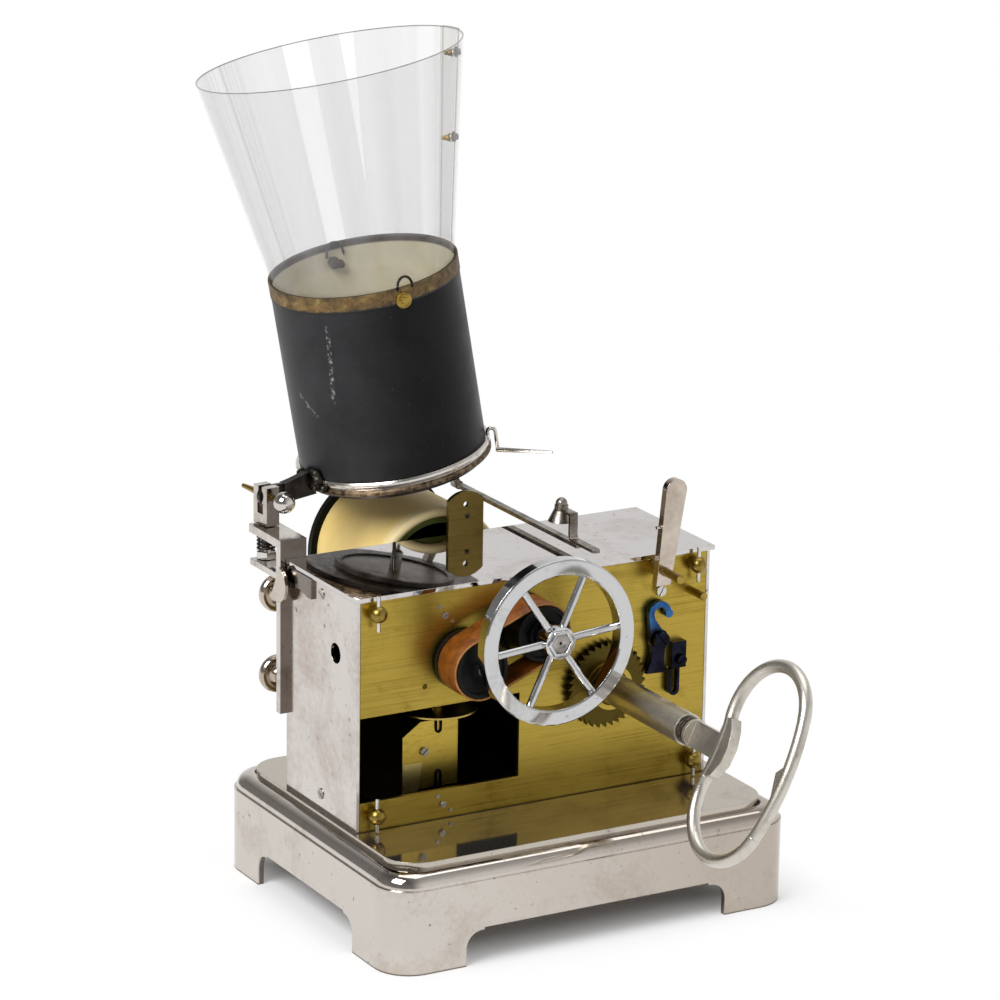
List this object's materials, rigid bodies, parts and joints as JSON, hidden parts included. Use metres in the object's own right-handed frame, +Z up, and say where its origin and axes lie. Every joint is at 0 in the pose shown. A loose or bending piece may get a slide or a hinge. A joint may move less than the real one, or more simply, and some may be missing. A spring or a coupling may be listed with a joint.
{
  "type": "clockwork cylinder phonograph",
  "caption": "Clockwork table phonograph: nickel base, brass motor case with spoked flywheel and winding key, cylinder record, and a leaning tube horn with a clear conical mouth.",
  "frame": {"origin": "centre of the base's footprint, on the plane its feet stand on", "axes": "+Z up, +Y from the flywheel and key toward the record, +X to the right when facing the flywheel"},
  "size_m": [0.1932, 0.2791, 0.342],
  "materials": {
    "nickel": "polished nickel plate, slightly tarnished",
    "brass": "brushed, lacquered",
    "steel": "satin",
    "blued_steel": "heat blued",
    "black_paint": "black gloss",
    "green_paint": "dark green gloss",
    "leather": "smooth tan",
    "celluloid": "cream gloss",
    "clear_celluloid": "clear sheet",
    "black_board": "black paper covering",
    "brown_board": "worn brown paper",
    "mica": "thin disc"
  },
  "bodies": {
    "frame": {"base_shell": "nickel", "base_top": "nickel", "left_end_plate": "nickel", "right_end_plate": "nickel", "front_plate": "brass", "back_plate": "brass", "top_plate": "nickel", "pillars": "brass", "taper_pins": "steel", "end_screws": "steel", "click_screw": "blued_steel", "click_spring": "blued_steel", "plate_screws": "blued_steel", "brass_studs": "brass", "drive_belt": "leather", "governor_cocks": "brass", "cock_fasteners": "steel", "horn_post": "nickel", "post_thumbscrews": "nickel", "catch_leaf": "nickel"},
    "mandrel": {"mandrel_arbor": "steel", "mandrel_pulley": "black_paint", "flywheel": "nickel", "mandrel_drum": "green_paint", "record_cylinder": "celluloid", "mandrel_nut": "steel"},
    "pulley": {"pulley_arbor": "steel", "drive_pulley": "black_paint"},
    "intermediate": {"intermediate_arbor": "steel", "intermediate_wheel": "brass"},
    "barrel": {"spring_barrel": "brass", "mainspring": "steel"},
    "winding": {"winding_arbor": "steel", "ratchet_wheel": "brass", "winding_key": "nickel"},
    "governor_drive": {"governor_wheel": "brass"},
    "governor": {"governor_arbor": "blued_steel", "governor_disc": "brass", "governor_vane": "brass", "vane_flap": "brass", "vane_screw": "steel"},
    "click": {"click": "blued_steel"},
    "lever": {"start_lever": "nickel"},
    "swivel": {"pivot_block": "nickel", "spindle": "steel", "spindle_spring": "steel", "pivot_pin": "brass"},
    "horn": {"horn_arm": "steel", "horn_ring": "nickel", "sound_box": "brass", "diaphragm": "mica", "stylus_bar": "steel", "horn_tube": "black_board", "tube_band": "brown_board", "horn_flare": "clear_celluloid", "flare_bolts": "steel", "tube_ties": "brass", "feed_bar": "steel", "feed_finger": "steel"}
  },
  "joints": [
    {"name": "mandrel_spin", "type": "hinge", "parent": "frame", "child": "mandrel", "pos_m": [-0.0097, 0, 0.1195], "axis": [0, 1, 0], "continuous": true},
    {"name": "pulley_spin", "type": "hinge", "parent": "frame", "child": "pulley", "pos_m": [-0.0368, 0, 0.1085], "axis": [0, 1, 0], "continuous": true},
    {"name": "intermediate_spin", "type": "hinge", "parent": "frame", "child": "intermediate", "pos_m": [-0.01657, 0, 0.09483], "axis": [0, 1, 0], "continuous": true},
    {"name": "barrel_spin", "type": "hinge", "parent": "frame", "child": "barrel", "pos_m": [0.0285, 0, 0.0885], "axis": [0, 1, 0], "continuous": true},
    {"name": "governor_drive_spin", "type": "hinge", "parent": "frame", "child": "governor_drive", "pos_m": [-0.0525, 0, 0.09907], "axis": [0, 1, 0], "continuous": true},
    {"name": "governor_spin", "type": "hinge", "parent": "frame", "child": "governor", "pos_m": [-0.037, -0.00775, 0.075], "axis": [0, 0, 1], "continuous": true},
    {"name": "winding_spin", "type": "hinge", "parent": "frame", "child": "winding", "pos_m": [0.0285, 0, 0.0885], "axis": [0, 1, 0], "continuous": true},
    {"name": "click_lift", "type": "hinge", "parent": "frame", "child": "click", "pos_m": [0.0525, -0.029, 0.104], "axis": [0, -1, 0], "range_deg": [0, 8], "stiffness_Nm_per_rad": 0.02},
    {"name": "lever_swing", "type": "hinge", "parent": "frame", "child": "lever", "pos_m": [0.0511, -0.034, 0.134], "axis": [0, 1, 0], "range_deg": [-14, 12]},
    {"name": "horn_swivel", "type": "hinge", "parent": "frame", "child": "swivel", "pos_m": [-0.07955, 0.05725, 0.14], "axis": [0, 0, 1], "range_deg": [-12, 15]},
    {"name": "horn_lift", "type": "hinge", "parent": "swivel", "child": "horn", "pos_m": [-0.07955, 0.05725, 0.1586], "axis": [0.1135, -0.9935, 0], "range_deg": [0, 70]}
  ],
  "couplings": [
    {"joint": "pulley_spin", "follows": "mandrel_spin", "ratio": 1},
    {"joint": "intermediate_spin", "follows": "mandrel_spin", "ratio": -0.27273},
    {"joint": "barrel_spin", "follows": "mandrel_spin", "ratio": 0.037879},
    {"joint": "governor_drive_spin", "follows": "mandrel_spin", "ratio": -0.4},
    {"joint": "governor_spin", "follows": "mandrel_spin", "ratio": 3}
  ]
}
